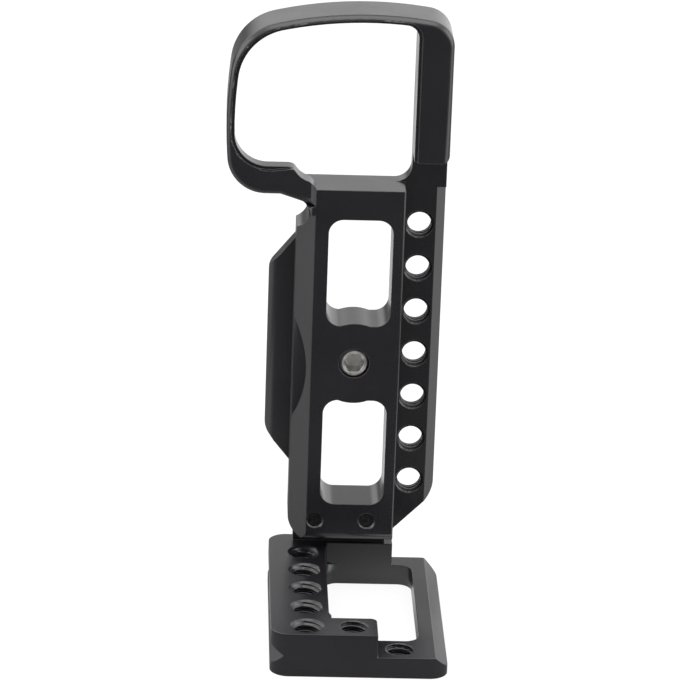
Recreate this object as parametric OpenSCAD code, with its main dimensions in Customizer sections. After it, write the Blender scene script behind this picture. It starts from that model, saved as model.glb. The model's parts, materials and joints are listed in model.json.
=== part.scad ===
// L bracket for a camera, stood on its side plate as for a portrait view.
// The origin is where the camera screw's axis crosses the seat that the camera's underside rests on.
// +Z runs up the base plate, away from the side plate. The camera stands on the -Y side of the seat.

/* [Base plate] */
// Thickness of the base plate, from the camera seat to the outer face
plate_t = 11.4; // [10.5:0.1:14]
// Width of the dovetail that a tripod clamp holds
dovetail_w = 38; // [37:0.1:42]
// Height of the dovetail layer
dovetail_t = 4; // [3.5:0.1:4.5]
// Depth of the 45 degree bevel along each dovetail edge
dovetail_bevel = 2; // [1:0.1:2.4]
// Distance from the screw axis to the bar's lens side
bar_left = 13.4; // [12.8:0.1:14.2]
// Distance from the screw axis to the bar's back side
bar_right = 9.95; // [9.6:0.05:10.1]
// Width of the 45 degree bevel on the lens side of the bar
lens_bevel = 4; // [2:0.1:5]
// Height of the bar's top above the screw axis
bar_top = 39.6; // [38:0.1:41]
// Radius on the front edge of the bar's lower end
foot_round = 2.2; // [0.5:0.1:3]
// Narrow chamfer that breaks the long front edge
edge_break = 0.35; // [0.1:0.05:0.6]
// Radius of the bar's lower corner on the lens side
bar_corner = 4.5; // [2:0.5:6]

/* [Dovetail outline] */
// Height where the left flange's edge starts to slope in at its top
left_flange_top = 19.5; // [17:0.5:22]
// Depth where the left flange's edge starts to slope in at its lower end
left_flange_bottom = 18.8; // [16:0.2:22]
// Slope of the left flange's two ends
left_flange_slope = 51; // [40:1:60]
// Radius on the corners of the left flange
left_flange_round = 4; // [1:0.5:6]
// Radius on the lower corner of the right flange
right_flange_round = 6; // [1:0.5:8]

/* [Windows and boss] */
// Width of the two windows in the bar
window_w = 14; // [12:0.5:15]
// Offset of the windows from the screw axis, towards the back side
window_shift = 0.55; // [0:0.05:0.8]
// Height of the upper window's top above the screw axis
window_top = 32.95; // [30:0.05:34]
// Height of the solid foot below the lower window
foot_block = 8.95; // [8.7:0.05:9.6]
// Distance from the screw axis to the near end of each window
window_start = 8.6; // [7.5:0.1:8.6]
// Corner radius of the windows
window_round = 3.2; // [1:0.1:4.5]
// Radius of the boss that carries the camera screw
boss_r = 9.2; // [8.8:0.1:9.5]

/* [Threaded holes] */
// Distance between holes in every row
hole_pitch = 10; // [9.5:0.1:11]
// Radius of a 1/4"-20 threaded hole
tap_r = 2.6; // [2.4:0.05:2.7]
// Radius of the countersunk rim of the holes in the flange
flange_rim_r = 3.2; // [2.9:0.1:3.4]
// Number of holes in the flange
flange_holes = 7; // [3:1:7]
// Distance from the screw axis to the row of holes in the flange
flange_row_x = 13.5; // [13.3:0.1:13.9]
// Radius of the countersunk rim of the row in the side plate
side_rim_r = 3.6; // [2.9:0.1:4]
// Number of holes in the row along the side plate
side_holes = 5; // [2:1:5]
// Radius of the countersunk rim of the two holes at the front edge
front_rim_r = 3.05; // [2.8:0.05:3.6]

/* [Loop round the battery door] */
// Height of the loop's crown above the screw axis
loop_top = 78.7; // [74:0.1:84]
// Distance that the loop reaches out past the dovetail on the grip side
loop_overhang = 10.1; // [8:0.1:13]
// Radius of the long arc over the loop's top
loop_top_r = 86.7; // [70:0.1:110]
// Distance from the screw axis to the crown of the top arc
loop_crown_x = 1.1; // [-2:0.1:4]
// Radius of the long arc down the loop's grip side
loop_left_r = 94.7; // [70:0.1:130]
// Height of the grip side arc's widest point
loop_left_z = 54.3; // [50:0.1:58]
// Outer radius at the upper corner on the grip side
grip_corner_r = 12; // [8:0.5:15]
// Outer radius at the upper corner on the back side
back_corner_r = 5.8; // [4:0.1:9]
// Outer radius at the lower corner on the grip side
arm_corner_r = 8.4; // [5:0.1:10]
// Height of the underside of the loop's arm
arm_bottom = 38.55; // [37.8:0.05:39]
// Wall of the loop
loop_wall = 1.75; // [1.4:0.05:3]
// Width of the rim that stands up round the camera's grip
rim_w = 1.05; // [0.8:0.05:1.3]
// Height of the rim above the camera seat
rim_h = 1.2; // [0.6:0.1:2]
// Radius on the rim's outer edge
rim_round = 1.6; // [0.8:0.1:2.5]
// Distance from the screw axis to the opening's edge on the back side
opening_right = 11.4; // [10.6:0.1:12.5]
// Radius on the corner where that band ends
band_round = 1.7; // [0.5:0.1:3]
// Height where the loop's broad back band ends
band_end = 46.4; // [44:0.1:48]
// Height of the shelf in the loop's lower corner
shelf_top = 44.7; // [43:0.1:46]
// Radius in the shelf's corner on the grip side
shelf_round = 7.3; // [4:0.1:9]
// Thickness of that shelf
shelf_t = 3.5; // [2.5:0.1:6]

/* [Side plate] */
// Distance from the screw axis to the side plate's outer face
side_drop = 54.9; // [53.5:0.1:57]
// Gap between the bar's lower end and the side plate
plate_gap = 2.9; // [2.5:0.1:3.4]
// Offset of the side plate's centre from the screw axis
side_shift = 1.6; // [1:0.1:2]
// Thickness of the side plate
side_t = 9.8; // [8.8:0.1:10.4]
// Thickness of the lower level round the port opening
low_t = 4.7; // [4:0.1:6]
// Distance that the side plate reaches out over the seat
side_reach = 44.1; // [42:0.1:50]
// Distance from the base plate's outer face to the side plate's back end
side_inset = 0.7; // [0:0.1:1]
// Depth of the bevel along the side plate's dovetail edge
side_bevel = 2.8; // [1.5:0.1:3]
// Height of the plain land below that bevel
side_land = 1.95; // [1.5:0.05:2.4]
// Depth of the V groove along the thick edge
groove_d = 2.8; // [1.5:0.1:3]
// Height of the mouth of that groove
groove_h = 4.6; // [4.6:0.1:6]
// Radius on the side plate's corners
side_round = 4; // [1:0.5:6]
// Chamfer along the front edge
side_chamfer = 0.8; // [0.2:0.1:1.2]
// Distance from the screw axis to the middle hole at the front edge
front_hole_x = 0.4; // [0.2:0.1:0.6]
// Distance from the front edge to the holes along it
front_hole_in = 4.7; // [4.5:0.1:6]

/* [Port opening] */
// Left side of the port opening, from the screw axis
port_left = 4.8; // [4.5:0.1:5.4]
// Right side of the port opening, from the screw axis
port_right = 14.75; // [14:0.05:15.2]
// Distance from the seat out to the opening's front edge
port_front = 35.2; // [33:0.1:35.4]
// Distance from the seat back to the opening's back wall
port_back = 6; // [5:0.1:6.4]
// Radius in the corners of the port opening
port_round = 3.2; // [1:0.1:5]
// Right end of the thick level at the front, from the screw axis
tongue_right = 5.4; // [4.6:0.1:6]
// Right end of the thick level behind the bar, from the screw axis
strip_right = 10.3; // [10.1:0.1:11]

/* [Camera screw] */
// Outer radius of the 1/4"-20 thread
thread_r = 3.175; // [3:0.005:3.3]
// Radial clearance round the thread
thread_gap = 0.17; // [0.05:0.01:0.3]
// Depth of the screw's tip below the seat when it is drawn back
tip_inset = 0.5; // [0.2:0.1:1]
// Radius of the screw's head
head_r = 6.5; // [6:0.1:6.6]
// Thickness of the screw's head
head_t = 2.5; // [2:0.1:2.8]
// Distance that the screw moves out to reach the camera
screw_travel = 4.7; // [4:0.1:5]
// Width across flats of the hex socket in the screw's tip
socket_w = 4; // [3:0.1:4.2]
// Thickness of the washer under the screw's head
washer_t = 0.5; // [0.3:0.1:0.8]
// Thickness of the retaining ring that keeps the screw in the plate
ring_t = 1; // [0.8:0.1:1.2]

/* [Side plate screws] */
// Distance between the two screws
joint_pitch = 11.5; // [11:0.1:12]
// Distance from the screw axis to the middle between them, towards the lens side
joint_x = 1.75; // [1.5:0.05:2]
// Height of the two screws above the bar's lower end
joint_up = 4.9; // [4.6:0.1:5.2]
// Shank radius of these M3 screws
joint_r = 1.5; // [1.2:0.05:1.6]
// Head radius of these screws
joint_head_r = 2.8; // [2.5:0.1:2.9]

/* [Hidden] */
$fn = 96;

lap = 0.5;
past = 1;
blend = 0.006;
slide_gap = 0.05;
seat_gap = 0.05;

half_w = dovetail_w / 2;
loop_left = half_w + loop_overhang;
bar_bottom = side_drop - side_t - plate_gap;
window_bottom = bar_bottom - foot_block;
joint_drop = bar_bottom - joint_up;
layer_y = plate_t - dovetail_t;
hole_depth = plate_t + 2 * past;

lens_cut_r = 24.7;
lens_cut_in = 3;
lens_cut_drop = 2.4;
notch_x = -15.2;
notch_r = 4.45;
notch_z = arm_bottom - notch_r;
ledge = loop_wall - rim_w;
shelf_end = [
    [-15.4, 0], [-14.6, -0.2], [-14.2, -0.5], [-13.65, -1.2], [-13, -1.9], [-11.9, -2.6], [-10.95, -2.95],
    [-10.1, -3.8], [-9.4, -4.9]
];
shelf_steps = len(shelf_end) - 1;
bar_front_left = lens_bevel - bar_left;
root_right = bar_front_left - rim_h;
arm_slope_x = -17.2;
arm_slope = 18;
arm_end = [
    [arm_slope_x, 0], [-12.4, -1.55], [-11.6, -2.05], [-11.1, -2.85], [-10.9, -3.75], [-10.85, -4.75],
    [bar_front_left, -4.75]
];
opening_round = 2.9;
opening_low_r = 5;
layer_round = 3.75;
tongue_round = 1.5;
long_arc = 30;
trim_depth = 3;

top_centre = [loop_crown_x, loop_top - loop_top_r];
left_centre = [loop_left_r - loop_left, loop_left_z];

bore_r = head_r + 0.35;
groove_r = bore_r + 0.65;
groove_gap = 0.04;
ring_inset = 0.4;
ring_back = plate_t - ring_inset;
ring_front = ring_back - ring_t;
ring_inner_r = 6;
lug_r = 1.2;
lug_x = 1.6;
lug_z = -5.6;
lug_hole_r = 0.5;
ring_split = 1.2;
head_back = ring_front - seat_gap;
head_front = head_back - head_t;
washer_back = head_front - seat_gap;
washer_front = washer_back - washer_t;
bore_floor = washer_front - screw_travel - seat_gap;
slot_w = 1.4;
slot_d = 1.2;
socket_d = 3.5;
tip_chamfer = 0.35;
washer_gap = 0.1;

side_back = plate_t - side_inset;
side_top = -side_drop + side_t;
low_top = -side_drop + low_t;
side_left = side_shift - half_w;
side_right = side_shift + half_w;
row_first = 0.6;
front_row_y = -side_reach + front_hole_in;

tenon_half = 10.3;
tenon_top = -window_bottom - 1.1;
tenon_front = layer_y + seat_gap;
joint_tip = 0.7;
joint_rim_r = 1.95;
joint_socket_w = 2;
joint_socket_d = 1.1;
joint_gap = 0.04;
joint_neck = side_back - seat_gap - joint_head_r + joint_r;

// Unit vector from a towards b
function towards(a, b) = (b - a) / norm(b - a);

// Centre of a circle of radius r that touches two large circles from inside, at their upper left crossing
function nested_centre(c1, r1, c2, r2, r) =
    let (a = r1 - r, b = r2 - r, d = norm(c2 - c1))
    let (h = (a * a - b * b + d * d) / (2 * d), e = (c2 - c1) / d)
    c1 + h * e + sqrt(a * a - h * h) * [-e[1], e[0]];

// Outline in X and Z, extruded along Y from y0 to y1
module across(y0, y1) {
    translate([0, y1, 0]) rotate([90, 0, 0]) linear_extrude(y1 - y0) children();
}

// Outline in Y and Z, extruded along X from x0 to x1
module along_x(x0, x1) {
    translate([x0, 0, 0]) rotate([90, 0, 90]) linear_extrude(x1 - x0) children();
}

// Round bar along Y at x, z
module pin_y(x, z, r, y0, y1) {
    across(y0, y1) translate([x, z]) circle(r = r);
}

// Cone along Y at x, z, with radius r0 at y0 and r1 at y1
module cone_y(x, z, r0, r1, y0, y1) {
    translate([x, y0, z]) rotate([-90, 0, 0]) cylinder(h = y1 - y0, r1 = r0, r2 = r1);
}

// Corner where the tangents of an arc about c meet, for an arc of radius r from a to b
function tangent_corner(c, r, a, b) = r == 0 ? c : c + ((a + b) / 2 - c) * pow(r / norm((a + b) / 2 - c), 2);

// Sliver between an arc about c, from a to b, and its two tangents
module arc_cut(c, r, a, b) {
    difference() {
        polygon([a, tangent_corner(c, r, a, b) + past * towards(c, (a + b) / 2), b]);
        translate(c) circle(r = r + blend, $fn = r > long_arc ? 360 : 72);
    }
}

// Rectangle with round corners
module round_rect(x0, z0, x1, z1, r) {
    translate([x0 + r, z0]) square([x1 - x0 - 2 * r, z1 - z0]);
    translate([x0, z0 + r]) square([x1 - x0, z1 - z0 - 2 * r]);
    for (x = [x0 + r, x1 - r], z = [z0 + r, z1 - r]) translate([x, z]) circle(r = r);
}

// Arcs round the loop's egg shape, clockwise from the top, each as centre, radius, start and end
function loop_arcs(inset, right, bottom, upper_left_r, upper_right_r, lower_left_r, lower_right_r) =
    let (top_r = loop_top_r - inset, left_r = loop_left_r - inset)
    let (ul = nested_centre(top_centre, top_r, left_centre, left_r, upper_left_r))
    let (ur_x = right - upper_right_r, ll_z = bottom + lower_left_r)
    let (ur_z = top_centre[1] + sqrt(pow(top_r - upper_right_r, 2) - pow(ur_x - top_centre[0], 2)))
    let (ll_x = left_centre[0] - sqrt(pow(left_r - lower_left_r, 2) - pow(ll_z - left_centre[1], 2)))
    let (ur = [ur_x, ur_z], ll = [ll_x, ll_z], lr = [right - lower_right_r, bottom + lower_right_r])
    let (top_a = top_centre + top_r * towards(top_centre, ul), top_b = top_centre + top_r * towards(top_centre, ur))
    let (left_a = left_centre + left_r * towards(left_centre, ll))
    let (left_b = left_centre + left_r * towards(left_centre, ul))
    [
        [top_centre, top_r, top_a, top_b], [ur, upper_right_r, top_b, [right, ur_z]],
        [lr, lower_right_r, [right, lr[1]], [lr[0], bottom]], [ll, lower_left_r, [ll_x, bottom], left_a],
        [left_centre, left_r, left_a, left_b], [ul, upper_left_r, left_b, top_a]
    ];

// Corners of the polygon whose sides touch those arcs
function loop_corners(arcs) = [for (k = arcs) tangent_corner(k[0], k[1], k[2], k[3])];

// Flat shape inside the arcs
module loop_shape(arcs) {
    difference() {
        polygon(loop_corners(arcs));
        for (k = arcs) if (k[1] > 0) arc_cut(k[0], k[1], k[2], k[3]);
    }
}

// Disc about c with a rounded front corner
module rounded_disc(c, r, y0, y1) {
    translate([c[0], y1, c[1]]) rotate([90, 0, 0]) rotate_extrude($fn = r > long_arc ? 360 : 96) difference() {
        square([r, y1 - y0]);
        corner_cut([r, y1 - y0], [-1, 0], [0, -1], rim_round);
    }
}

// Material outside an arc from a to b, with the front corner rounded over
module arc_trim(c, r, a, b, y0, y1) {
    peak = tangent_corner(c, r, a, b) + past * towards(c, (a + b) / 2);
    difference() {
        across(y0 - past, y1 + past)
            polygon([a + trim_depth * towards(a, c), a, peak, b, b + trim_depth * towards(b, c)]);
        rounded_disc(c, r + blend, y0, y1 + 2 * past);
    }
}

// Front corner of a straight side from p to q, rounded over
module edge_trim(p, q, y0) {
    run = q - p;
    translate([p[0], 0, p[1]]) rotate([0, -atan2(run[1], run[0]), 0]) along_x(0, norm(run))
        corner_cut([y0, 0], [1, 0], [0, -1], rim_round);
}

// Outer shape of the loop as arcs
loop_outline = loop_arcs(0, half_w, arm_bottom, grip_corner_r, back_corner_r, arm_corner_r, 0);

// Whole loop with its outer front edge rounded over
module loop_solid(y0, y1) {
    corners = loop_corners(loop_outline);
    last = len(corners) - 1;
    difference() {
        across(y0, y1) polygon(corners);
        for (i = [0 : last]) edge_trim(corners[i], corners[i == last ? 0 : i + 1], y0);
        for (k = loop_outline) if (k[1] > 0) arc_trim(k[0], k[1], k[2], k[3], y0, y1);
    }
}

// Shelf in the loop's lower corner, with its S shaped end, drawn in by an inset
module shelf(inset) {
    r = shelf_round + inset;
    left_r = loop_left_r - loop_wall + inset;
    z = shelf_top + shelf_round;
    x = left_centre[0] - sqrt(pow(left_r - r, 2) - pow(z - left_centre[1], 2));
    low = arm_bottom - past;
    difference() {
        polygon([
            [x, z - r], [shelf_end[0][0], z - r], for (k = [1 : shelf_steps]) shelf_end[k] + [0, shelf_top - inset],
            [bar_front_left, low], [-loop_left - past, low], [-loop_left - past, z],
            left_centre + left_r * towards(left_centre, [x, z])
        ]);
        translate([x, z]) circle(r = r + 2 * blend);
    }
}

// Opening through the whole loop, behind the shelf
module opening_back() {
    loop_shape(loop_arcs(loop_wall, opening_right, bar_top, grip_corner_r, opening_round, opening_low_r, layer_round));
}

// Opening at the seat, in front of and above the shelf
module opening_front() {
    difference() {
        opening_back();
        shelf(0);
    }
}

// Inner edge of the rim that stands above the seat
module rim_inside() {
    difference() {
        loop_shape(loop_arcs(rim_w, opening_right + ledge, arm_bottom + rim_w, grip_corner_r,
            opening_round + ledge / 2, opening_low_r, 0));
        shelf(ledge);
    }
}

// Part of the loop that stands proud of the dovetail layer
module loop_front() {
    difference() {
        loop_solid(-rim_h, layer_y + lap);
        across(-rim_h - past, 0) rim_inside();
        across(-rim_h - past, shelf_t) opening_front();
        across(-rim_h - past, layer_y + past) translate([root_right, arm_bottom - past])
            square([2 * half_w, band_end - arm_bottom + past]);
        corner_round([half_w, band_end], -rim_h - past, layer_y);
    }
}

// Root of the arm where it runs into the lens side of the bar
module arm_root() {
    difference() {
        intersection() {
            across(-rim_h, shelf_t) polygon([
                [-half_w, arm_bottom + rim_round], [arm_slope_x, arm_bottom + rim_round],
                for (k = arm_end) k + [0, arm_bottom],
                for (k = [shelf_steps : -1 : 1]) shelf_end[k] + [0, shelf_top], [-half_w, shelf_top - ledge]
            ]);
            translate([0, 0, notch_z - past]) linear_extrude(shelf_top - notch_z + past) polygon([
                [-half_w - past, -rim_h], [root_right, -rim_h], [bar_front_left, 0],
                [bar_front_left, shelf_t], [-half_w - past, shelf_t]
            ]);
        }
        translate([arm_slope_x, 0, arm_bottom]) rotate([0, arm_slope, 0]) along_x(-lap, bar_left)
            corner_cut([-rim_h, 0], [1, 0], [0, 1], rim_round);
    }
}

// Bar that carries the camera seat, with its beveled lens side
module bar() {
    intersection() {
        translate([0, 0, -bar_bottom]) linear_extrude(bar_bottom + bar_top) polygon([
            [-bar_left + lens_bevel, 0], [bar_right - edge_break, 0], [bar_right, edge_break],
            [bar_right, plate_t], [-bar_left, plate_t], [-bar_left, lens_bevel]
        ]);
        across(-past, plate_t + past)
            round_rect(-bar_left, -bar_bottom, half_w, loop_top, bar_corner);
    }
}

// Flat layer with the 45 degree dovetail edges
module dovetail_layer() {
    run = half_w - bar_left;
    rise = run * tan(left_flange_slope);
    intersection() {
        translate([0, 0, -bar_bottom]) linear_extrude(bar_bottom + band_end) polygon([
            [-half_w + dovetail_bevel, layer_y], [half_w - dovetail_bevel, layer_y],
            [half_w, layer_y + dovetail_bevel], [half_w, plate_t],
            [-half_w, plate_t], [-half_w, layer_y + dovetail_bevel]
        ]);
        across(layer_y - past, plate_t + past) difference() {
            polygon([
                [-bar_left, -bar_bottom + bar_corner], [-bar_left, -left_flange_bottom - rise],
                [-half_w, -left_flange_bottom], [-half_w, left_flange_top],
                [-bar_left, left_flange_top + rise], [-bar_left, band_end + past],
                [half_w, band_end + past], [half_w, -bar_bottom + half_w - bar_right], [bar_right, -bar_bottom],
                [0, -bar_bottom], [0, 0]
            ]);
            corner_cut([-half_w, left_flange_top], [0, -1], [cos(left_flange_slope), sin(left_flange_slope)],
                left_flange_round);
            corner_cut([-half_w, -left_flange_bottom], [0, 1], [cos(left_flange_slope), -sin(left_flange_slope)],
                left_flange_round);
            corner_cut([half_w, -bar_bottom + half_w - bar_right], [0, 1], [-sqrt(0.5), -sqrt(0.5)],
                right_flange_round);
        }
    }
}

// Material outside a fillet of radius r at corner p, whose edges leave along u and v
module corner_cut(p, u, v, r) {
    half = acos(u * v) / 2;
    reach = r / tan(half);
    centre = p + r / sin(half) * towards([0, 0], u + v);
    out = towards(centre, p);
    difference() {
        polygon([p + reach * u, p + past * out, p + reach * v]);
        translate(centre) circle(r = r + blend);
    }
}

// Corner of the loop's band at p, rounded over through its depth
module corner_round(p, y0, y1) {
    across(y0, y1) corner_cut(p, [0, 1], [-1, 0], band_round);
}

// One window, with the boss left standing at its near end
module window(z0, z1) {
    difference() {
        round_rect(window_shift - window_w / 2, z0, window_shift + window_w / 2, z1, window_round);
        circle(r = boss_r);
    }
}

// Threaded hole along Y with a countersunk rim at both ends
module flange_hole(x, z) {
    rim = flange_rim_r - tap_r;
    pin_y(x, z, tap_r, layer_y - past, plate_t + past);
    cone_y(x, z, flange_rim_r + past, tap_r, layer_y - past, layer_y + rim);
    cone_y(x, z, tap_r, flange_rim_r + past, plate_t - rim, plate_t + past);
}

// Bore for the camera screw, with room for its head to travel
module camera_screw_bore() {
    pin_y(0, 0, thread_r + thread_gap, -past, plate_t);
    pin_y(0, 0, bore_r, bore_floor, plate_t + past);
    pin_y(0, 0, groove_r, ring_front - groove_gap, ring_back + groove_gap);
}

// Hollows for the side plate's tenon and the two screws through it
module tenon_pocket() {
    across(layer_y, plate_t + past) polygon([
        [-joint_x - tenon_half - seat_gap, -bar_bottom - past], [-joint_x + tenon_half + seat_gap, -bar_bottom - past],
        [-joint_x + tenon_half + seat_gap, tenon_top + seat_gap], [-joint_x - tenon_half - seat_gap, tenon_top + seat_gap]
    ]);
    for (side = [-1, 1]) {
        x = -joint_x + side * joint_pitch / 2;
        pin_y(x, -joint_drop, joint_r + joint_gap, -past, layer_y + past);
        cone_y(x, -joint_drop, joint_rim_r + past, joint_r + joint_gap, -past, joint_rim_r - joint_r);
    }
}

module base_plate() {
    color("dimgray")
    difference() {
        union() {
            difference() {
                union() {
                    bar();
                    dovetail_layer();
                }
                pin_y(notch_x, notch_z, notch_r, -past, plate_t + past);
            }
            loop_front();
            arm_root();
            across(layer_y, plate_t) loop_shape(loop_outline);
        }
        across(shelf_t, plate_t + past) opening_back();
        across(-past, plate_t + past) window(window_start, window_top);
        across(-past, plate_t + past) window(-window_bottom, -window_start);
        along_x(-bar_left - past, bar_right + past) corner_cut([0, -bar_bottom], [1, 0], [0, 1], foot_round);
        pin_y(-bar_left + lens_cut_in - lens_cut_r, -lens_cut_drop, lens_cut_r, -past, lens_bevel);
        for (i = [0 : flange_holes - 1]) flange_hole(flange_row_x, (i - (flange_holes - 1) / 2) * hole_pitch);
        camera_screw_bore();
        tenon_pocket();
    }
}

// Threaded hole along Z through the side plate, with its rims
module side_hole(x, y, top, rim_r) {
    rim = rim_r - tap_r;
    translate([x, y, -side_drop - past]) cylinder(h = top + side_drop + 2 * past, r = tap_r);
    translate([x, y, top - rim]) cylinder(h = rim + past, r1 = tap_r, r2 = rim_r + past);
    translate([x, y, -side_drop - past]) cylinder(h = rim + past, r1 = rim_r + past, r2 = tap_r);
}

// Cross-section of the side plate in X and Z, with its two dovetail edges
module side_section(top) {
    z0 = -side_drop;
    land = z0 + side_land;
    polygon([
        [side_left, z0], [side_right, z0], [side_right, land],
        [side_right - side_bevel, land + side_bevel], [side_right - side_bevel, top], [side_left, top],
        [side_left, land + groove_h], [side_left + groove_d, land + groove_d], [side_left, land]
    ]);
}

// Plan of the side plate's thick level in X and Y
module thick_plan() {
    difference() {
        union() {
            translate([side_left, -side_reach]) square([-port_left - side_left + lap, side_reach + side_back]);
            translate([-port_left, -side_reach]) square([tongue_right + port_left, side_reach - port_front]);
            translate([-port_left, port_back]) square([strip_right + port_left, side_back - port_back]);
        }
        corner_cut([tongue_right, -port_front], [-1, 0], [0, -1], tongue_round);
    }
}

module side_plate() {
    color("dimgray")
    difference() {
        union() {
            intersection() {
                across(-side_reach, side_back) side_section(side_top);
                translate([0, 0, -side_drop - past]) linear_extrude(side_t + 2 * past) thick_plan();
            }
            across(-side_reach, side_back) intersection() {
                side_section(low_top);
                translate([-port_left, -side_drop]) square([dovetail_w, low_t]);
            }
            across(tenon_front, side_back) polygon([
                [-joint_x - tenon_half, side_top - lap], [-joint_x + tenon_half, side_top - lap],
                [-joint_x + tenon_half, tenon_top], [-joint_x - tenon_half, tenon_top]
            ]);
        }
        translate([0, 0, -side_drop - past]) linear_extrude(side_t + 2 * past) {
            round_rect(-port_left, -port_front, port_right, port_back, port_round);
            corner_cut([side_left, -side_reach], [1, 0], [0, 1], side_round);
            corner_cut([side_right, -side_reach], [-1, 0], [0, 1], side_round);
            corner_cut([side_left, side_back], [1, 0], [0, -1], side_round);
            corner_cut([side_right, side_back], [-1, 0], [0, -1], side_round);
        }
        for (i = [0 : side_holes - 1])
            side_hole(-hole_pitch + front_hole_x, front_row_y + i * hole_pitch, side_top, side_rim_r);
        side_hole(front_hole_x, front_row_y, side_top, front_rim_r);
        side_hole(front_hole_x + hole_pitch, front_row_y, low_top, front_rim_r);
        translate([side_left - past, -side_reach, side_top]) rotate([45, 0, 0])
            cube([tongue_right - side_left + 2 * past, side_chamfer * sqrt(2), side_chamfer * sqrt(2)]);
        for (side = [-1, 1]) {
            x = -joint_x + side * joint_pitch / 2;
            pin_y(x, -joint_drop, joint_r + joint_gap, tenon_front - past, side_back + past);
            cone_y(x, -joint_drop, joint_r + joint_gap, joint_r + joint_gap + side_back + past - joint_neck,
                joint_neck, side_back + past);
        }
    }
}

// Screw along Y that holds the camera, with a hex socket in its tip and a slot in its head
module camera_screw() {
    color("silver")
    difference() {
        union() {
            pin_y(0, 0, thread_r, tip_inset + tip_chamfer, head_front + lap);
            cone_y(0, 0, thread_r - tip_chamfer, thread_r, tip_inset, tip_inset + tip_chamfer);
            pin_y(0, 0, head_r, head_front, head_back);
        }
        across(tip_inset - past, tip_inset + socket_d) circle(r = socket_w / sqrt(3), $fn = 6);
        across(head_back - slot_d, head_back + past) square([2 * head_r + past, slot_w], center = true);
    }
}

module screw_washer() {
    color("ivory")
    difference() {
        pin_y(0, 0, head_r - 0.3, washer_front, washer_back);
        pin_y(0, 0, thread_r + washer_gap, washer_front - past, washer_back + past);
    }
}

// Split ring in the groove behind the screw's head, with two holes for a pair of pliers
module retaining_ring() {
    color("slategray")
    across(ring_front, ring_back) difference() {
        circle(r = groove_r - groove_gap);
        difference() {
            circle(r = ring_inner_r);
            for (x = [-lug_x, lug_x]) translate([x, lug_z]) circle(r = lug_r);
        }
        translate([-ring_split / 2, -groove_r - past]) square([ring_split, groove_r]);
        for (x = [-lug_x, lug_x]) translate([x, lug_z]) circle(r = lug_hole_r);
    }
}

// Countersunk M3 screws that hold the side plate, heads at its back face
module joint_screws() {
    color("black")
    for (side = [-1, 1]) {
        x = -joint_x + side * joint_pitch / 2;
        difference() {
            union() {
                pin_y(x, -joint_drop, joint_r, joint_tip, joint_neck + lap);
                cone_y(x, -joint_drop, joint_r, joint_head_r, joint_neck, side_back - seat_gap);
            }
            across(side_back - joint_socket_d, side_back + past) translate([x, -joint_drop])
                circle(r = joint_socket_w / sqrt(3), $fn = 6);
        }
    }
}

base_plate();
side_plate();
camera_screw();
screw_washer();
retaining_ring();
joint_screws();
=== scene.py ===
"""Looks of an L bracket for a camera: black anodised plates, a stainless screw, a white studio.

Each node of the frame is stood for by a skin. That is a merged copy with flat flats and smooth
curves, and with real threads in the 1/4 inch holes and on the camera screw. Lengths are in
millimetres wherever a docstring doesn't say otherwise.
"""

import json
import logging
import math
from contextlib import contextmanager
from dataclasses import dataclass
from enum import Enum
from typing import Any, Iterator, Union

import bpy
from mathutils import Matrix, Vector

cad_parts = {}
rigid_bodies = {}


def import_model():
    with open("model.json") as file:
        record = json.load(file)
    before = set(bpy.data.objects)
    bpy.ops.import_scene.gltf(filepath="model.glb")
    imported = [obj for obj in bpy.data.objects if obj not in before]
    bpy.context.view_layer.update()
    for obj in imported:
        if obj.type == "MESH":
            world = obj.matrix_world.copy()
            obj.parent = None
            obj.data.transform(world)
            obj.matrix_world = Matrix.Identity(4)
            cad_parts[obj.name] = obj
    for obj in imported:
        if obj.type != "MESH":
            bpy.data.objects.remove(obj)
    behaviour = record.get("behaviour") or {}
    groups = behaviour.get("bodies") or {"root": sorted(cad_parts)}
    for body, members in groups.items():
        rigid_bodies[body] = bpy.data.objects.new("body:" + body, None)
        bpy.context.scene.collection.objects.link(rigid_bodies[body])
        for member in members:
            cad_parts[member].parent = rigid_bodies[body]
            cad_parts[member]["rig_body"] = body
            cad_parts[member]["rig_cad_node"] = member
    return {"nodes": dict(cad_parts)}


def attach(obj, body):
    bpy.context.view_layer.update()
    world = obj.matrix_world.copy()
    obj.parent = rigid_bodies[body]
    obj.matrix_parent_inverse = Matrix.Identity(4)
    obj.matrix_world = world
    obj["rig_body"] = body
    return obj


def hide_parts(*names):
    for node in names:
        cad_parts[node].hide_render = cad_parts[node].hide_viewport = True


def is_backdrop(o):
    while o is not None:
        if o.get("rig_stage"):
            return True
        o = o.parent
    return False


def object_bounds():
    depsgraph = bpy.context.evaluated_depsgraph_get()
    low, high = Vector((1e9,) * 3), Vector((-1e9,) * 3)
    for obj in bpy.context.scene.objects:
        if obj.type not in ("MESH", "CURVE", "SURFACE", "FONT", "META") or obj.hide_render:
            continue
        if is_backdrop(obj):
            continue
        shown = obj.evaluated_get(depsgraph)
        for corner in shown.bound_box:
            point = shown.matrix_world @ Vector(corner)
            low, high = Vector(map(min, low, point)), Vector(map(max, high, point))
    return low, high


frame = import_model()
log = logging.getLogger("bracket")
MM = 0.001
WHITE = (1.0, 1.0, 1.0, 1.0)

Point = tuple[float, float, float]
Colour = tuple[float, float, float]
Range = tuple[float, float]


class Body(Enum):
    """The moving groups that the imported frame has."""

    BRACKET = "bracket"
    WASHER = "washer"
    SCREW = "screw"


class Slot(Enum):
    """The record's material slots."""

    ANODISED = "black_anodised"
    STAINLESS = "stainless"
    SPRING = "spring_steel"
    OXIDE = "black_oxide"
    NYLON = "nylon"


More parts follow.
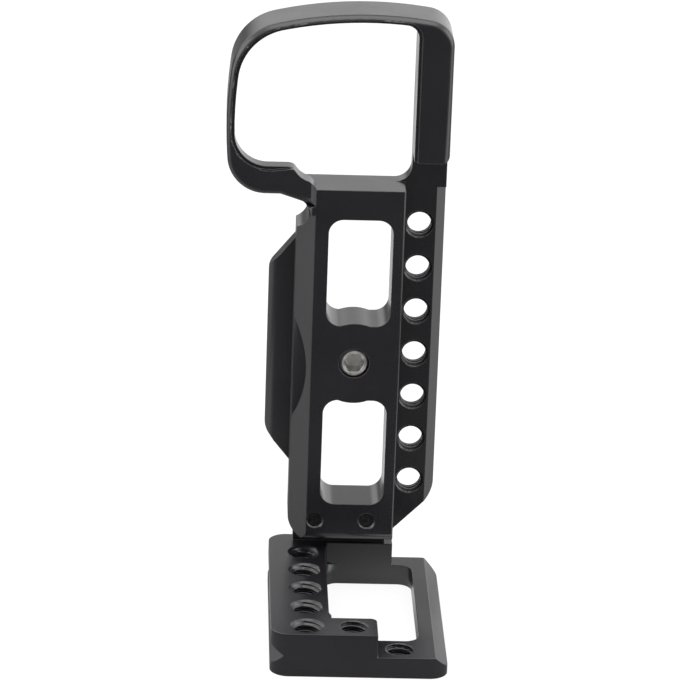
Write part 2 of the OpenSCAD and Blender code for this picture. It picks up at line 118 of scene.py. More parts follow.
class Value:
    """A node socket that takes part in arithmetic by adding Math nodes."""

    def __init__(self, tree: "Tree", socket: bpy.types.NodeSocket) -> None:
        """Wraps a socket.

        Args:
            tree: The tree the socket belongs to.
            socket: The output socket.
        """
        self.tree = tree
        self.socket = socket

    def _math(self, operation: str, *others: "Operand", flip: bool = False) -> "Value":
        """Adds one Math node.

        Args:
            operation: The Math node's operation.
            others: The operands after this one.
            flip: Whether this value comes last.

        Returns:
            The node's result.
        """
        operands: list[Operand] = [self, *others]
        if flip:
            operands.reverse()
        inputs = dict(enumerate(operands))
        node = self.tree.node("ShaderNodeMath", {"operation": operation}, inputs)
        return Value(self.tree, node.outputs[0])

    def __add__(self, other: "Operand") -> "Value":
        """Sum."""
        return self._math("ADD", other)

    def __sub__(self, other: "Operand") -> "Value":
        """Difference."""
        return self._math("SUBTRACT", other)

    def __rsub__(self, other: "Operand") -> "Value":
        """Reflected difference."""
        return self._math("SUBTRACT", other, flip=True)

    def __mul__(self, other: "Operand") -> "Value":
        """Product."""
        return self._math("MULTIPLY", other)

    __radd__ = __add__
    __rmul__ = __mul__

    def __pow__(self, other: "Operand") -> "Value":
        """Power."""
        return self._math("POWER", other)

    def __neg__(self) -> "Value":
        """Negation."""
        return self._math("MULTIPLY", -1.0)

    def size(self) -> "Value":
        """The value without its sign."""
        return self._math("ABSOLUTE")

    def sine(self) -> "Value":
        """The sine of the value in radians."""
        return self._math("SINE")

    def most(self, other: "Operand") -> "Value":
        """The larger of two values."""
        return self._math("MAXIMUM", other)

    def clamp(self) -> "Value":
        """The value kept from 0 to 1."""
        node = self.tree.node("ShaderNodeClamp", {}, {0: self})
        return Value(self.tree, node.outputs[0])

    def step(self, low: float, high: float) -> "Value":
        """Smooth step.

        Args:
            low: The value that gives 0.
            high: The value that gives 1.

        Returns:
            A value from 0 to 1.
        """
        settings = {"interpolation_type": "SMOOTHSTEP"}
        inputs = {0: self, 1: low, 2: high, 3: 0.0, 4: 1.0}
        node = self.tree.node("ShaderNodeMapRange", settings, inputs)
        return Value(self.tree, node.outputs[0])


Operand = Union[Value, float, int]
Tint = Union[Colour, bpy.types.NodeSocket]


class Tree:
    """The node tree of a material or of the world, with one way to add nodes."""

    def __init__(self, owner: bpy.types.ID, output: str, coordinates: str) -> None:
        """Empties the owner's tree and gives it an output.

        Args:
            owner: The material or world.
            output: The output node's type.
            coordinates: The coordinates its patterns read.
        """
        owner.use_nodes = True
        self.owner = owner
        self.nodes = owner.node_tree.nodes
        self.links = owner.node_tree.links
        self.nodes.clear()
        self.output = self.nodes.new(output)
        self.place = self.node("ShaderNodeTexCoord").outputs[coordinates]

    @classmethod
    def material(cls, name: str) -> "Tree":
        """Starts a material that reads the piece's own coordinates."""
        return cls(bpy.data.materials.new(name), "ShaderNodeOutputMaterial", "Object")

    @classmethod
    def world(cls, name: str) -> "Tree":
        """Starts a world that reads the direction looked in."""
        return cls(bpy.data.worlds.new(name), "ShaderNodeOutputWorld", "Generated")

    def node(
        self,
        kind: str,
        settings: dict[str, Any] | None = None,
        inputs: dict[Any, Any] | None = None,
    ) -> bpy.types.Node:
        """Adds a node.

        Args:
            kind: The node's type.
            settings: Properties to set first.
            inputs: Values or sockets by input name or index.

        Returns:
            The node.
        """
        made = self.nodes.new(kind)
        for key, value in (settings or {}).items():
            setattr(made, key, value)
        for key, value in (inputs or {}).items():
            self.feed(made.inputs[key], value)
        return made

    def feed(self, target: bpy.types.NodeSocket, value: Any) -> None:
        """Links a socket to an input or sets its value.

        Args:
            target: The input.
            value: A Value, a socket or a constant.
        """
        if isinstance(value, Value):
            self.links.new(value.socket, target)
        elif isinstance(value, bpy.types.NodeSocket):
            self.links.new(value, target)
        else:
            target.default_value = value

    def split(self) -> tuple[Value, Value, Value]:
        """The coordinates as three values.

        Returns:
            X, Y and Z.
        """
        outputs = self.node("ShaderNodeSeparateXYZ", {}, {0: self.place}).outputs
        return Value(self, outputs[0]), Value(self, outputs[1]), Value(self, outputs[2])

    def ray(self, kind: str) -> Value:
        """Whether the ray that arrives is of a kind.

        Args:
            kind: The Light Path node's output, such as "Is Camera Ray".

        Returns:
            1 for such a ray and 0 for any other.
        """
        return Value(self, self.node("ShaderNodeLightPath").outputs[kind])

    def noise(self, size: float, detail: float, stretch: Point = (1, 1, 1)) -> Value:
        """Noise in the piece's own space.

        Args:
            size: The size of a patch.
            detail: Octaves.
            stretch: Frequency factors along the axes.

        Returns:
            The noise, about 0.5 on average.
        """
        mapped = self.node("ShaderNodeMapping", {}, {"Vector": self.place, "Scale": stretch})
        inputs = {"Vector": mapped.outputs[0], "Scale": 1 / (size * MM), "Detail": detail}
        return Value(self, self.node("ShaderNodeTexNoise", {}, inputs).outputs["Fac"])

    def rounded(self, radius: float, samples: int) -> bpy.types.NodeSocket:
        """The normal of a surface whose edges are rounded over in shading only.

        Args:
            radius: The radius.
            samples: Rays for each estimate.

        Returns:
            The normal.
        """
        bevel = self.node("ShaderNodeBevel", {"samples": samples}, {"Radius": radius * MM})
        return bevel.outputs[0]

    def edge(self, radius: float, samples: int) -> Value:
        """How strongly the surface turns within a radius, as at a worn edge.

        Args:
            radius: The radius.
            samples: Rays for each estimate.

        Returns:
            0 on flat ground, rising at edges.
        """
        plain = self.node("ShaderNodeNewGeometry").outputs["Normal"]
        inputs = {0: self.rounded(radius, samples), 1: plain}
        dot = self.node("ShaderNodeVectorMath", {"operation": "DOT_PRODUCT"}, inputs)
        return 1 - Value(self, dot.outputs["Value"])

    def bump(
        self,
        height: Value,
        distance: float,
        strength: float,
        normal: bpy.types.NodeSocket | None = None,
    ) -> bpy.types.NodeSocket:
        """Bumps the surface.

        Args:
            height: The height, 0 to 1.
            distance: The height of 1.
            strength: The bump's strength.
            normal: The normal beneath it, or None for the surface's own.

        Returns:
            The bumped normal.
        """
        inputs = {"Height": height, "Distance": distance * MM, "Strength": strength}
        if normal is not None:
            inputs["Normal"] = normal
        return self.node("ShaderNodeBump", {}, inputs).outputs[0]

    def mix(self, factor: Value, low: Tint, high: Tint) -> bpy.types.NodeSocket:
        """Mixes two colours. The node has its colours at inputs 6 and 7 and at output 2.

        Args:
            factor: 0 for the first colour.
            low: The first colour.
            high: The second colour.

        Returns:
            The mixed colour.
        """
        first, second = ((*tint, 1) if isinstance(tint, tuple) else tint for tint in (low, high))
        inputs = {0: factor, 6: first, 7: second}
        return self.node("ShaderNodeMix", {"data_type": "RGBA"}, inputs).outputs[2]

    def light(self, kind: str, level: "Operand") -> bpy.types.Node:
        """Adds a shader of white light.

        Args:
            kind: "Emission" on a surface or "Background" in the world.
            level: Its strength.

        Returns:
            The shader.
        """
        return self.node(f"ShaderNode{kind}", {}, {"Color": WHITE, "Strength": level})

    def matt(self, grey: float) -> bpy.types.Node:
        """Adds a matt grey shader.

        Args:
            grey: Its level, 0 to 1.

        Returns:
            The shader.
        """
        return self.node("ShaderNodeBsdfDiffuse", {}, {"Color": (grey, grey, grey, 1)})

    def choose(self, test: Value, no: bpy.types.Node, yes: bpy.types.Node) -> bpy.types.Node:
        """Takes one of two shaders.

        Args:
            test: 0 for the first shader, 1 for the second.
            no: The first shader.
            yes: The second shader.

        Returns:
            The chosen shader.
        """
        inputs = {0: test, 1: no.outputs[0], 2: yes.outputs[0]}
        return self.node("ShaderNodeMixShader", {}, inputs)

    def finish(self, shader: bpy.types.Node) -> bpy.types.ID:
        """Links the last shader to the output.

        Args:
            shader: The last shader node.

        Returns:
            The material or world.
        """
        self.links.new(shader.outputs[0], self.output.inputs["Surface"])
        return self.owner

    def dress(self, inputs: dict[str, Any]) -> bpy.types.ID:
        """Ends a material with one principled shader.

        Args:
            inputs: The shader's inputs by name.

        Returns:
            The material.
        """
        return self.finish(self.node("ShaderNodeBsdfPrincipled", {}, inputs))


@dataclass(frozen=True)
class AnodisedBlack:
    """Fine blasted and black anodised aluminium with slightly rubbed edges.

    Attributes:
        name: The material's name.
        colour: The oxide at its darkest.
        pale: The oxide at its palest.
        roughness: Roughness where nothing adds to it.
        oxide_ior: The oxide's index of refraction.
        cloud: Size of the wide patches.
        cloud_detail: Their octaves.
        cloud_range: Noise at which a patch starts and is full.
        cloud_share: Their share in the colour, with the grain for the rest.
        cloud_rough: Roughness that a patch adds.
        grain: Size of the blasted grain.
        grain_detail: Its octaves.
        grain_height: Its height.
        grain_strength: Its strength in the bump.
        scuff: Size of the long scuffs.
        scuff_detail: Their octaves.
        scuff_stretch: Their frequency factors, low along the length.
        scuff_range: Noise at which a scuff starts and is full.
        scuff_polish: Roughness that a scuff takes away.
        rubbed: The colour of a rubbed edge.
        rub_radius: Radius within which an edge shows and is rounded.
        rub_rays: Rays that look for edges.
        rub_gain: How quickly a sharper edge is rubbed more.
        rub_least: The rubbing where the patches give none.
        rub_patch: Size of the rubbed patches.
        rub_detail: Their octaves.
        rub_share: The rubbed colour's largest share.
        rub_polish: Roughness that rubbing takes away.
        round_rays: Rays that round the edges.
    """

    name: str = "black anodised"
    colour: Colour = (0.0115, 0.0100, 0.0130)
    pale: Colour = (0.0165, 0.0148, 0.0180)
    roughness: float = 0.22
    oxide_ior: float = 1.76
    cloud: float = 12
    cloud_detail: float = 4
    cloud_range: Range = (0.3, 0.7)
    cloud_share: float = 0.6
    cloud_rough: float = 0.05
    grain: float = 0.10
    grain_detail: float = 2
    grain_height: float = 0.006
    grain_strength: float = 0.25
    scuff: float = 1.0
    scuff_detail: float = 4
    scuff_stretch: Point = (1, 1, 0.15)
    scuff_range: Range = (0.62, 0.75)
    scuff_polish: float = 0.04
    rubbed: Colour = (0.16, 0.158, 0.162)
    rub_radius: float = 0.25
    rub_rays: int = 6
    rub_gain: float = 3
    rub_least: float = 0.25
    rub_patch: float = 2.5
    rub_detail: float = 3
    rub_share: float = 0.8
    rub_polish: float = 0.05
    round_rays: int = 8

    def build(self) -> bpy.types.Material:
        """Makes the material."""
        tree = Tree.material(self.name)
        cloud = tree.noise(self.cloud, self.cloud_detail).step(*self.cloud_range)
        grain = tree.noise(self.grain, self.grain_detail)
        scuff = tree.noise(self.scuff, self.scuff_detail, self.scuff_stretch)
        scuff = scuff.step(*self.scuff_range)
        patches = self.rub_least + tree.noise(self.rub_patch, self.rub_detail)
        worn = (tree.edge(self.rub_radius, self.rub_rays) * self.rub_gain * patches).clamp()
        blend = (cloud * self.cloud_share + grain * (1 - self.cloud_share)).clamp()
        oxide = tree.mix(blend, self.colour, self.pale)
        rough = self.roughness + cloud * self.cloud_rough
        edge = tree.rounded(self.rub_radius, self.round_rays)
        return tree.dress({
            "Base Color": tree.mix(worn * self.rub_share, oxide, self.rubbed),
            "Roughness": rough - scuff * self.scuff_polish - worn * self.rub_polish,
            "IOR": self.oxide_ior,
            "Normal": tree.bump(grain, self.grain_height, self.grain_strength, edge),
        })


@dataclass(frozen=True)
class TurnedSteel:
    """Bright stainless steel with rings left by turning about an axis along Y.

    Attributes:
        name: The material's name.
        colour: The bright colour.
        dark: The stained colour.
        roughness: Roughness where nothing adds to it.
        ring: Distance between rings.
        ring_height: Their height.
        ring_strength: Their strength in the bump.
        ring_share: Their share of the dark colour.
        stain: Size of the stains.
        stain_detail: Their octaves.
        stain_range: Noise at which a stain starts and is full.
        stain_share: Their share of the dark colour.
        stain_rough: Roughness that a stain adds.
        round_radius: Radius that edges are rounded to.
        round_rays: Rays that round them.
    """

    name: str = "turned stainless"
    colour: Colour = (0.90, 0.89, 0.87)
    dark: Colour = (0.62, 0.61, 0.59)
    roughness: float = 0.28
    ring: float = 0.11
    ring_height: float = 0.03
    ring_strength: float = 1.0
    ring_share: float = 0.15
    stain: float = 1.6
    stain_detail: float = 4
    stain_range: Range = (0.35, 0.75)
    stain_share: float = 0.6
    stain_rough: float = 0.12
    round_radius: float = 0.15
    round_rays: int = 6

    def build(self) -> bpy.types.Material:
        """Makes the material."""
        tree = Tree.material(self.name)
        x, _, z = tree.split()
        radius = (x * x + z * z) ** 0.5
        rings = (radius * (2 * math.pi / (self.ring * MM))).sine() * 0.5 + 0.5
        stain = tree.noise(self.stain, self.stain_detail).step(*self.stain_range)
        shade = (stain * self.stain_share + rings * self.ring_share).clamp()
        edge = tree.rounded(self.round_radius, self.round_rays)
        return tree.dress({
            "Base Color": tree.mix(shade, self.colour, self.dark),
            "Roughness": self.roughness + stain * self.stain_rough,
            "Metallic": 1.0,
            "Normal": tree.bump(rings, self.ring_height, self.ring_strength, edge),
        })


@dataclass(frozen=True)
class Mottled:
    """A finish of two colours in patches, with a fine grain.

    Attributes:
        name: The material's name.
        colour: The first colour.
        pale: The second colour.
        metallic: How much of a metal it is.
        roughness: Roughness where the patches add none.
        patch: Size of the patches.
        patch_detail: Their octaves.
        patch_range: Noise at which a patch starts and is full.
        patch_rough: Roughness that a patch adds.
        grain: Size of the grain.
        grain_detail: Its octaves.
        grain_height: Its height.
        grain_strength: Its strength in the bump.
    """

    name: str
    colour: Colour
    pale: Colour
    metallic: float
    roughness: float
    patch: float
    patch_detail: float
    patch_range: Range
    patch_rough: float
    grain: float
    grain_detail: float
    grain_height: float = 0.01
    grain_strength: float = 0.2

    def build(self) -> bpy.types.Material:
        """Makes the material."""
        tree = Tree.material(self.name)
        patches = tree.noise(self.patch, self.patch_detail)
        grain = tree.noise(self.grain, self.grain_detail)
        return tree.dress({
            "Base Color": tree.mix(patches.step(*self.patch_range), self.colour, self.pale),
            "Roughness": self.roughness + patches * self.patch_rough,
            "Metallic": self.metallic,
            "Normal": tree.bump(grain, self.grain_height, self.grain_strength),
        })


DARK_STEEL = Mottled(
    name="dark steel", colour=(0.035, 0.035, 0.038), pale=(0.07, 0.07, 0.072),
    metallic=0.85, roughness=0.38,
    patch=0.7, patch_detail=4, patch_range=(0.35, 0.7), patch_rough=0.15,
    grain=0.15, grain_detail=2,
)
NYLON = Mottled(
    name="natural nylon", colour=(0.60, 0.57, 0.48), pale=(0.70, 0.67, 0.58),
    metallic=0.0, roughness=0.45,
    patch=1.5, patch_detail=3, patch_range=(0.3, 0.7), patch_rough=0.1,
    grain=0.3, grain_detail=3,
)


def deselect() -> None:
    """Deselects every object."""
    bpy.ops.object.select_all(action="DESELECT")


def activate(piece: bpy.types.Object) -> None:
    """Makes a piece the only selected one and the active one."""
    deselect()
    piece.select_set(True)
    bpy.context.view_layer.objects.active = piece


@contextmanager
def editing() -> Iterator[None]:
    """Edit mode on the active piece, with all of its mesh selected."""
    bpy.ops.object.mode_set(mode="EDIT")
    bpy.ops.mesh.select_all(action="SELECT")
    yield
    bpy.ops.object.mode_set(mode="OBJECT")


class Side(Enum):
    """Where a thread's groove goes, as the sign of the way along the radius."""

    OUTWARD = 1
    INWARD = -1


@dataclass(frozen=True)
class Thread:
    """Helical groove of a 1/4 inch screw with 20 threads per inch.

    Attributes:
        at: The middle of the groove's length, on the axis.
        along: The axis, "Y" or "Z".
        length: The groove's length along the axis.
        side: Outward into the wall of a bore, or inward into a shank.
        pitch: The way along the axis in one turn.
        bore_radius: Radius of a tapped bore.
        major_radius: Radius at a bore's roots and of a shank.
        shank_root: Radius at a shank's roots.
        reach: How far the cutter stands out past the surface.
        flat: Half the width of the groove's root.
        flank: Angle between a flank and the radius, in degrees.
        steps: Segments for each turn.
    """

    at: Point
    along: str
    length: float
    side: Side = Side.OUTWARD
    pitch: float = 1.27
    bore_radius: float = 2.6
    major_radius: float = 3.175
    shank_root: float = 2.68
    reach: float = 0.1
    flat: float = 0.14
    flank: float = 30.0
    steps: int = 28

    def corners(self) -> tuple[float, float, float, float]:
        """The groove's cross-section.

        Returns:
            Radius and half width at its open side, then radius and half width at its root.
        """
        slope = math.tan(math.radians(self.flank))
        mouth = self.bore_radius if self.side is Side.OUTWARD else self.major_radius
        root = self.major_radius if self.side is Side.OUTWARD else self.shank_root
        opened = mouth - self.side.value * self.reach
        return opened, self.flat + abs(root - opened) * slope, root, self.flat

    def outline(self) -> bpy.types.Object:
        """Draws the cross-section.

        Returns:
            A loop of four edges in the XZ plane.
        """
        opened, wide, root, narrow = self.corners()
        deselect()
        bpy.ops.mesh.primitive_plane_add(size=1, location=(0, 0, 0))
        piece = bpy.context.active_object
        for vertex in piece.data.vertices:
            radius, half = (opened, wide) if vertex.co.x < 0 else (root, narrow)
            vertex.co = (radius * MM, 0, math.copysign(half, vertex.co.y) * MM)
        with editing():
            bpy.ops.mesh.delete(type="ONLY_FACE")
        return piece

    def sweep(self, piece: bpy.types.Object) -> None:
        """Turns the outline into a closed helical solid that starts at the origin.

        Args:
            piece: The outline, which is the active object.
        """
        turns = self.length / self.pitch
        helix = piece.modifiers.new("helix", "SCREW")
        helix.axis, helix.angle, helix.screw_offset = "Z", 2 * math.pi * turns, self.length * MM
        helix.steps = helix.render_steps = math.ceil(self.steps * turns)
        helix.use_merge_vertices = False
        bpy.ops.object.modifier_apply(modifier="helix")
        with editing():
            bpy.ops.mesh.fill_holes(sides=0)
            bpy.ops.mesh.select_all(action="SELECT")
            bpy.ops.mesh.normals_make_consistent(inside=False)

    def cutter(self) -> bpy.types.Object:
        """Makes the solid that is cut away.

        Returns:
            The closed helical solid at its place.
        """
        piece = self.outline()
        self.sweep(piece)
        middle = Matrix.Translation((0, 0, -self.length / 2 * MM))
        turn = Matrix.Identity(4)
        if self.along == "Y":
            turn = Matrix.Rotation(math.radians(90), 4, "X")
        piece.matrix_world = Matrix.Translation(Vector(self.at) * MM) @ turn @ middle
        activate(piece)
        bpy.ops.object.transform_apply(location=True, rotation=True, scale=True)
        return piece


@dataclass
class Skin:
    """A merged copy of a CAD node, with threads cut and flats shaded flat, in the node's place.

    Attributes:
        node: The node's name.
        body: The body it rides on.
        slot: Its material slot.
        material: Its finish.
        threads: The grooves to cut.
        weld: Distance within which vertices are merged.
        flat: Angle below which faces are joined into one, in degrees.
        sharp: Angle above which an edge stays sharp, in degrees.
        area_weight: How far large faces decide the normals, 100 at most.
    """

    node: str
    body: Body
    slot: Slot
    material: bpy.types.Material
    threads: tuple[Thread, ...] = ()
    weld: float = 0.0005
    flat: float = 0.1
    sharp: float = 24.0
    area_weight: int = 100

    def merged(self) -> bpy.types.Object:
        """Copies the node, merges its loose triangles and joins those that lie in one plane.

        Returns:
            The copy.
        """
        source = frame["nodes"][self.node]
        piece = source.copy()
        piece.data = source.data.copy()
        piece.name = f"{self.node}_skin"
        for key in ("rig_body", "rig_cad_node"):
            if key in piece:
                del piece[key]
        piece.parent = None
        bpy.context.scene.collection.objects.link(piece)
        activate(piece)
        with editing():
            bpy.ops.mesh.remove_doubles(threshold=self.weld * MM)
            bpy.ops.mesh.dissolve_limited(angle_limit=math.radians(self.flat))
        return piece

    def cut(self, piece: bpy.types.Object) -> None:
        """Cuts the threads.

        Args:
            piece: The merged copy.
        """
        cutters = [thread.cutter() for thread in self.threads]
        activate(cutters[0])
        for cutter in cutters:
            cutter.select_set(True)
        bpy.ops.object.join()
        tool = bpy.context.active_object
        activate(piece)
        groove = piece.modifiers.new("threads", "BOOLEAN")
        groove.operation, groove.solver, groove.object = "DIFFERENCE", "EXACT", tool
        bpy.ops.object.modifier_apply(modifier="threads")
        bpy.data.objects.remove(tool)

    def smooth(self, piece: bpy.types.Object) -> None:
        """Shades curves smooth and flats flat.

        Args:
            piece: The piece, with its threads cut.
        """
        activate(piece)
        bpy.ops.object.shade_smooth_by_angle(angle=math.radians(self.sharp))
        even = piece.modifiers.new("even", "WEIGHTED_NORMAL")
        even.mode, even.weight, even.keep_sharp = "FACE_AREA", self.area_weight, True
        bpy.ops.object.modifier_apply(modifier="even")

    def build(self) -> bpy.types.Object:
        """Makes the piece.

        Returns:
            The piece, riding on its body.
        """
        piece = self.merged()
        if self.threads:
            self.cut(piece)
        self.smooth(piece)
        piece.data.materials.clear()
        piece.data.materials.append(self.material)
        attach(piece, self.body.value)
        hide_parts(self.node)
        log.info("%s: %d faces", piece.name, len(piece.data.polygons))
        return piece


@dataclass(frozen=True)
class Threads:
    """Where the threads are.

    Those in holes are cut a little longer than the metal is thick. The camera screw's thread
    runs out past its tip and stops short of its head.

    Attributes:
        pitch: Distance between neighbouring holes.
        flange_x: X of the flange's row.
        flange_y: Middle of its threads along Y.
        flange_cut: Length of its threads.
        flange_count: Number of its holes, spread evenly about the origin along Z.
        side_x: X of the side plate's row.
        side_first_y: Y of its first hole.
        side_z: Middle of the side plate's threads along Z.
        side_cut: Length of its threads.
        side_count: Number of holes in its row.
        front_x: X of the two holes along the front edge.
        shank_y: Middle of the camera screw's thread along Y.
        shank_cut: Length of its thread.
    """

    pitch: float = 10.0
    flange_x: float = 13.5
    flange_y: float = 9.4
    flange_cut: float = 6.6
    flange_count: int = 7
    side_x: float = -9.6
    side_first_y: float = -39.4
    side_z: float = -50.0
    side_cut: float = 12.4
    side_count: int = 5
    front_x: tuple[float, float] = (0.4, 10.4)
    shank_y: float = 2.8
    shank_cut: float = 6.8

    def flange(self) -> tuple[Thread, ...]:
        """The threads along the base plate's flange."""
        first = -(self.flange_count - 1) / 2
        heights = [(first + i) * self.pitch for i in range(self.flange_count)]
        return tuple(Thread((self.flange_x, self.flange_y, z), "Y", self.flange_cut)
                     for z in heights)

    def side(self) -> tuple[Thread, ...]:
        """The threads through the side plate."""
        row = [(self.side_x, self.side_first_y + i * self.pitch) for i in range(self.side_count)]
        row += [(x, self.side_first_y) for x in self.front_x]
        return tuple(Thread((x, y, self.side_z), "Z", self.side_cut) for x, y in row)

    def shank(self) -> tuple[Thread, ...]:
        """The camera screw's thread."""
        return (Thread((0, self.shank_y, 0), "Y", self.shank_cut, Side.INWARD),)


@dataclass(frozen=True)
class PhotoCamera:
    """The photograph's camera, as solved from the edges in it.

    Attributes:
        at: Its place.
        yaw: Turn of the view towards +X, in radians.
        pitch: Turn of the view upwards, in radians.
        roll: Turn about the view, in radians.
        focal_px: Focal length in pixels.
        frame_px: Width and height of the picture in pixels.
        sensor: Width of the sensor.
        clip: Nearest and farthest distance that is drawn, in metres.
    """

    at: Point = (-33.54, -790.65, 291.03)
    yaw: float = 0.0383
    pitch: float = -0.3464
    roll: float = 0.035
    focal_px: float = 3856.9
    frame_px: float = 680.0
    sensor: float = 36.0
    clip: Range = (0.01, 20)

    def directions(self) -> tuple[Vector, Vector, Vector]:
        """The camera's right, up and forward directions.

        Returns:
            Three unit vectors.
        """
        level = math.cos(self.pitch)
        forward = Vector((math.sin(self.yaw) * level, math.cos(self.yaw) * level,
                          math.sin(self.pitch)))
        right = forward.cross(Vector((0, 0, 1))).normalized()
        up = right.cross(forward)
        rolled_right = math.cos(self.roll) * right + math.sin(self.roll) * up
        rolled_up = -math.sin(self.roll) * right + math.cos(self.roll) * up
        return rolled_right, rolled_up, forward

    def build(self) -> None:
        """Makes the camera."""
        right, up, forward = self.directions()
        data = bpy.data.cameras.new("camera")
        data.sensor_width = self.sensor
        data.lens = self.sensor * self.focal_px / self.frame_px
        data.clip_start, data.clip_end = self.clip
        piece = bpy.data.objects.new("camera", data)
        turn = Matrix((right, up, -forward)).transposed().to_4x4()
        piece.matrix_world = Matrix.Translation(Vector(self.at) * MM) @ turn
        bpy.context.scene.collection.objects.link(piece)
        bpy.context.scene.camera = piece


@dataclass(frozen=True)
class Lamp:
    """One soft square lamp that points at the bracket.

    Attributes:
        name: Its name.
        at: Its place.
        width: Its width and height.
        power: Watts.
        aim: What it points at.
    """

    name: str
    at: Point
    width: float
    power: float
    aim: Point = (0, 0, 20)

    def build(self) -> None:
        """Makes the lamp."""
        data = bpy.data.lights.new(self.name, "AREA")
        data.shape = "RECTANGLE"
        data.size = data.size_y = self.width * MM
        data.energy = self.power
        piece = bpy.data.objects.new(self.name, data)
        way = Vector(self.aim) - Vector(self.at)
        turn = way.to_track_quat("-Z", "Y").to_matrix().to_4x4()
        piece.matrix_world = Matrix.Translation(Vector(self.at) * MM) @ turn
        bpy.context.scene.collection.objects.link(piece)


LAMPS = (
    Lamp("top", (0, -100, 900), 900, 3),
    Lamp("left", (-800, -100, 250), 700, 2),
    Lamp("right", (800, -100, 250), 700, 2),
)


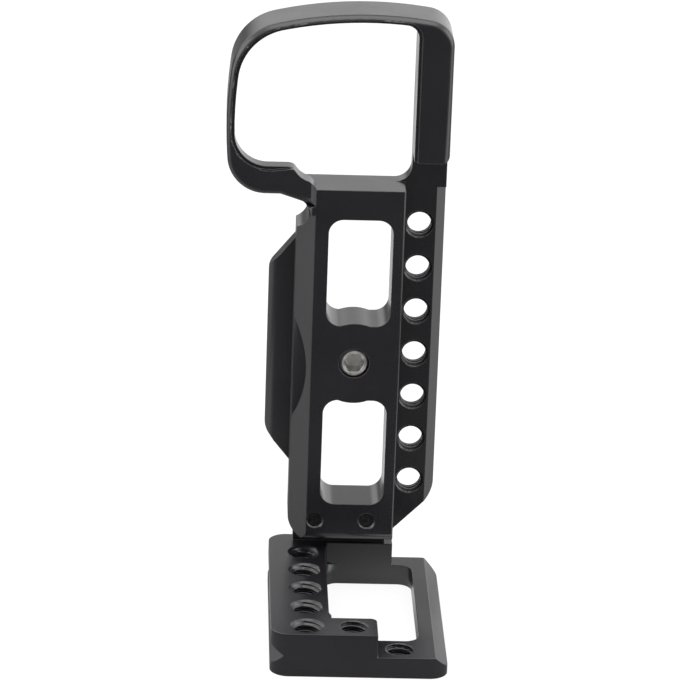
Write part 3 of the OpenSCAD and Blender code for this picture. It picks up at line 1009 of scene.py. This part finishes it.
@dataclass(frozen=True)
class Studio:
    """White surroundings and a pale floor. Gloss mirrors brighter and dimmer parts of both.

    The world goes by direction and the floor by place, so its lengths are in metres. A pair gives
    the values at which something starts and is full.

    Attributes:
        dim: Level of the darkest parts, of 1.
        front_taper: How much the dim front narrows towards the sides.
        front_turn: The front's start and full, by direction.
        overhead: Height of direction above which the front is bright again.
        horizon: Height of direction above which the world is bright.
        back_turn: The back's start and full, by direction.
        back_gain: What the back has more than the rest.
        back_fade: Height of direction where the dim band across the back starts.
        back_return: Height of direction where it ends.
        back_width: How far to its sides it ends.
        right_level: Level of the right side, on the floor and low in the world.
        right_turn: The low right part's start and full, by direction.
        floor_drop: Gap between the floor and the bracket, in millimetres.
        floor_size: Width of the floor.
        floor_glow: What the camera sees of the floor by itself.
        floor_shade: What the floor adds for the light it gets, so that a shadow shows.
        floor_matt: The floor's grey to soft light.
        start: Half width of the bright strip behind at its near end.
        left_spread: How fast the strip widens to the left.
        right_spread: How fast it widens to the right.
        side_spread: How fast the bright sides widen.
        soft: Width of the soft edges.
        left_near: Level of the left side close to the bracket.
        left_turn: Where the left side's level changes.
        apron: Where the floor in front gets a little brighter.
        apron_level: By how much.
    """

    dim: float = 0.12
    front_taper: float = 0.6
    front_turn: Range = (0.1, 0.7)
    overhead: Range = (0.6, 0.9)
    horizon: Range = (0.0, 0.2)
    back_turn: Range = (0.3, 0.6)
    back_gain: float = 0.15
    back_fade: Range = (0.36, 0.40)
    back_return: Range = (0.6, 0.75)
    back_width: Range = (0.12, 0.3)
    right_level: float = 0.95
    right_turn: Range = (0.0, 0.25)
    floor_drop: float = 0.05
    floor_size: float = 4
    floor_glow: float = 0.9
    floor_shade: float = 0.15
    floor_matt: float = 0.8
    start: float = 0.03
    left_spread: float = 0.15
    right_spread: float = 0.55
    side_spread: float = 0.35
    soft: float = 0.06
    left_near: float = 0.45
    left_turn: Range = (-0.46, -0.36)
    apron: Range = (-0.11, -0.05)
    apron_level: float = 0.12

    def world(self) -> None:
        """Makes the world: white to the camera, bright above and behind, dim in front.

        The dim band across the back is what the side plate's top mirrors. The tops that lie
        higher mirror the bright part below the band.
        """
        tree = Tree.world("studio")
        x, y, z = tree.split()
        front = (-y - x.size() * self.front_taper).step(*self.front_turn)
        front = front * (1 - z.step(*self.overhead))
        low_right = x.step(*self.right_turn) * y.step(*self.right_turn) * self.right_level
        band = z.step(*self.back_fade) * (1 - z.step(*self.back_return))
        band = band * (1 - x.size().step(*self.back_width))
        back = 1 + y.step(*self.back_turn) * (self.back_gain - band * (1 + self.back_gain))
        lit = z.step(*self.horizon).most(low_right) * back
        level = self.dim + lit * (1 - front) * (1 - self.dim)
        seen = tree.ray("Is Camera Ray")
        mirrored, shown = tree.light("Background", level), tree.light("Background", 1.0)
        bpy.context.scene.world = tree.finish(tree.choose(seen, mirrored, shown))

    def mirrored_floor(self, tree: Tree) -> Value:
        """How bright the floor is where gloss mirrors it.

        Args:
            tree: The floor's tree.

        Returns:
            White behind the object, softer to its sides and dim elsewhere.
        """
        x, y, _ = tree.split()
        half, quarter = self.soft / 2, self.soft / 4
        right = x.step(-quarter, quarter)
        spread = self.left_spread * (1 - right) + self.right_spread * right
        behind = (y * spread + self.start - x.size()).step(0, self.soft) * y.step(-quarter, half)
        beside = (x.size() * self.side_spread - y.size()).step(-half, half)
        left_level = self.left_near + (1 - self.left_near) * (1 - x.step(*self.left_turn))
        level = left_level * (1 - right) + right * self.right_level
        bright = behind.most(beside * level)
        return self.dim + bright * (1 - self.dim) + y.step(*self.apron) * self.apron_level

    def floor_material(self) -> bpy.types.ID:
        """Makes the floor's material, which differs for the camera, for gloss and for soft light.

        Returns:
            The material.
        """
        tree = Tree.material("floor white")
        glow, shade = tree.light("Emission", self.floor_glow), tree.matt(self.floor_shade)
        shown = tree.node("ShaderNodeAddShader", {}, {0: glow.outputs[0], 1: shade.outputs[0]})
        mirrored = tree.light("Emission", self.mirrored_floor(tree))
        rest = tree.choose(tree.ray("Is Glossy Ray"), tree.matt(self.floor_matt), mirrored)
        return tree.finish(tree.choose(tree.ray("Is Camera Ray"), rest, shown))

    def floor(self) -> None:
        """Makes the floor, white behind the object and with a faint shadow under it."""
        low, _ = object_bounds()
        deselect()
        bpy.ops.mesh.primitive_plane_add(
            size=self.floor_size, location=(0, 0, low.z - self.floor_drop * MM))
        piece = bpy.context.active_object
        piece.name = "floor"
        piece.data.materials.append(self.floor_material())
        piece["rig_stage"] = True

    def build(self) -> None:
        """Makes the world, the floor, the camera and the lamps."""
        PhotoCamera().build()
        self.world()
        self.floor()
        for lamp in LAMPS:
            lamp.build()
        bpy.context.scene.view_settings.view_transform = "Standard"


def main() -> None:
    """Builds every piece, dresses it and sets the studio."""
    logging.basicConfig(level=logging.INFO)
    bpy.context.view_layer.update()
    black = AnodisedBlack().build()
    steel = TurnedSteel().build()
    dark = DARK_STEEL.build()
    nylon = NYLON.build()
    threads = Threads()
    for skin in (
        Skin("base_plate", Body.BRACKET, Slot.ANODISED, black, threads.flange()),
        Skin("side_plate", Body.BRACKET, Slot.ANODISED, black, threads.side()),
        Skin("camera_screw", Body.SCREW, Slot.STAINLESS, steel, threads.shank()),
        Skin("screw_washer", Body.WASHER, Slot.NYLON, nylon),
        Skin("retaining_ring", Body.BRACKET, Slot.SPRING, dark),
        Skin("joint_screws", Body.BRACKET, Slot.OXIDE, dark),
    ):
        skin.build()
    Studio().build()


if __name__ == "__main__":
    main()
